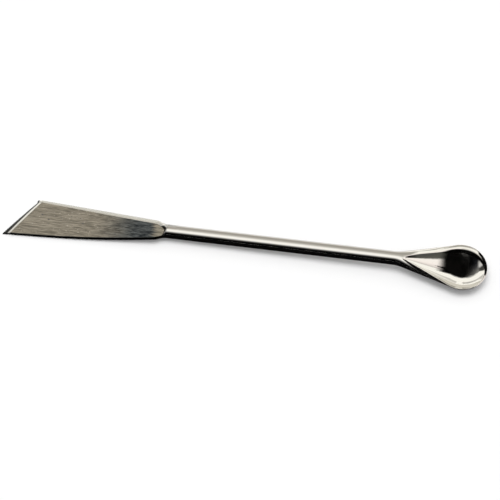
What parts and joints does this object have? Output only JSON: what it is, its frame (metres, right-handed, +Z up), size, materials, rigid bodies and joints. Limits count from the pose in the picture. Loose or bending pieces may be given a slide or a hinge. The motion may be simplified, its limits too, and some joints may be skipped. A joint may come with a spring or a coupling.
{
  "type": "lab spatula",
  "caption": "One-piece steel lab spatula with a flat skew-ended blade, a round handle and a teardrop scoop for lifting and levelling small amounts of powder.",
  "frame": {"origin": "centre of the bounding box's bottom face, on the bench that the spatula lies on", "axes": "+X along the handle from the blade to the scoop, +Z up out of the open side of the scoop"},
  "size_m": [0.14, 0.0156, 0.0051],
  "materials": {
    "steel": "polished handle and scoop, fine lengthwise grind on the blade"
  },
  "bodies": {
    "root": {"spatula": "steel"}
  },
  "joints": []
}
